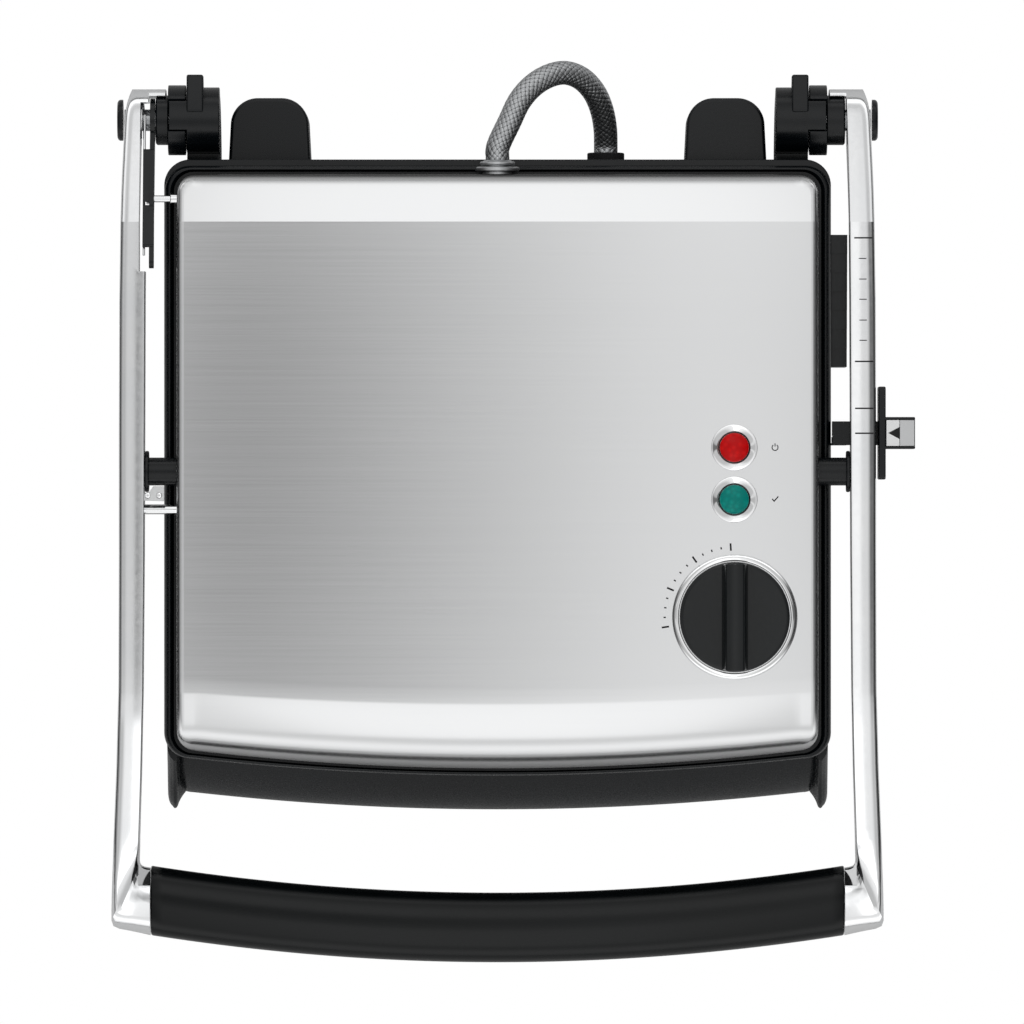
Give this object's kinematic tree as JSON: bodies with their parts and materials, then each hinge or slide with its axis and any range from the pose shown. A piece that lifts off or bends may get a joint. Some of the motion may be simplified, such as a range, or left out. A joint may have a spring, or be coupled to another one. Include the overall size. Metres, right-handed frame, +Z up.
{
  "type": "contact grill",
  "caption": "Countertop contact grill: heated ribbed plates that meet under a floating steel lid on hinged arms with a bar handle, with height stop, thermostat dial, lamps and drip tray.",
  "frame": {"origin": "middle of the footprint, on the surface that the pads stand on", "axes": "+X to the user's right, +Y from the handle to the hinge at the rear, +Z up"},
  "size_m": [0.3702, 0.4146, 0.1257],
  "materials": {
    "black_plastic": "satin black, heat-resistant",
    "gloss_black": "glossy black",
    "brushed_steel": "brushed across the lid",
    "polished_alloy": "polished casting",
    "chrome": "mirror chrome",
    "plain_steel": "plain steel",
    "shield_sheet": "dull sheet",
    "cast_plate": "dark non-stick coat on a casting",
    "rubber": "dull black",
    "red_lens": "clear red",
    "green_lens": "clear blue-green",
    "pale_resin": "moulded resin or ceramic, pale",
    "braid": "woven metal braid"
  },
  "bodies": {
    "base": {"base_shell": "black_plastic", "bottom_cover": "plain_steel", "rear_pad_right": "rubber", "rear_pad_left": "rubber", "front_pad_right": "rubber", "front_pad_left": "rubber", "rear_foot_right": "black_plastic", "rear_foot_left": "black_plastic", "hinge_post_right": "black_plastic", "hinge_post_left": "black_plastic", "hinge_collar_right": "gloss_black", "hinge_collar_left": "gloss_black", "lower_plate": "cast_plate", "lower_element": "plain_steel", "lower_heat_shield": "shield_sheet", "terminal_block": "pale_resin", "height_rack": "gloss_black", "lock_keeper": "black_plastic", "conduit_boot": "rubber", "conduit": "braid", "mains_entry": "rubber"},
    "tray": {"drip_tray": "black_plastic"},
    "arms": {"arm_right": "polished_alloy", "arm_left": "polished_alloy", "grip": "black_plastic", "grip_core": "plain_steel", "hinge_pin_right": "plain_steel", "hinge_pin_left": "plain_steel", "hinge_cap_right": "gloss_black", "hinge_cap_left": "gloss_black", "pivot_pin_right": "plain_steel", "pivot_pin_left": "plain_steel"},
    "lid": {"upper_plate": "cast_plate", "lid_rim": "black_plastic", "lid_cover": "brushed_steel", "upper_element": "plain_steel", "upper_heat_shield": "shield_sheet", "thermostat": "pale_resin", "dial_bezel": "chrome", "lamp_lens_power": "red_lens", "lamp_lens_ready": "green_lens", "lamp_bezel_power": "chrome", "lamp_bezel_ready": "chrome", "lamp_body_power": "pale_resin", "lamp_body_ready": "pale_resin", "pivot_bush_right": "plain_steel", "pivot_bush_left": "plain_steel", "lid_bracket_right": "plain_steel", "lid_bracket_left": "plain_steel", "guide_pin": "chrome", "stop_pin": "chrome", "gland_flange": "chrome", "gland_nut": "chrome"},
    "dial": {"dial_knob": "gloss_black"},
    "slider": {"slider_body": "black_plastic", "slider_badge": "chrome"},
    "link": {"balance_link": "gloss_black", "balance_spring": "chrome"}
  },
  "joints": [
    {"name": "arm_hinge", "type": "hinge", "parent": "base", "child": "arms", "pos_m": [0, 0.18036, 0.0657], "axis": [-1, 0, 0], "range_deg": [0, 100], "deforming": ["conduit"]},
    {"name": "lid_float", "type": "hinge", "parent": "arms", "child": "lid", "pos_m": [0, 0.01776, 0.0917], "axis": [-1, 0, 0], "range_deg": [-3.1, 0]},
    {"name": "link_swing", "type": "hinge", "parent": "arms", "child": "link", "pos_m": [-0.1665, 0.18036, 0.0657], "axis": [-1, 0, 0], "range_deg": [0, 7.9]},
    {"name": "height_slide", "type": "slide", "parent": "arms", "child": "slider", "axis": [0, 1, 0], "range_m": [-0.003, 0.0894]},
    {"name": "dial_turn", "type": "hinge", "parent": "lid", "child": "dial", "pos_m": [0.10205, -0.04914, 0.108], "axis": [0, 0, 1], "range_deg": [0, 95]},
    {"name": "tray_slide", "type": "slide", "parent": "base", "child": "tray", "axis": [0, 1, 0], "range_m": [0, 0.09]}
  ],
  "couplings": [
    {"joint": "lid_float", "follows": "arm_hinge", "ratio": -0.03},
    {"joint": "link_swing", "follows": "arm_hinge", "ratio": 0.078}
  ]
}
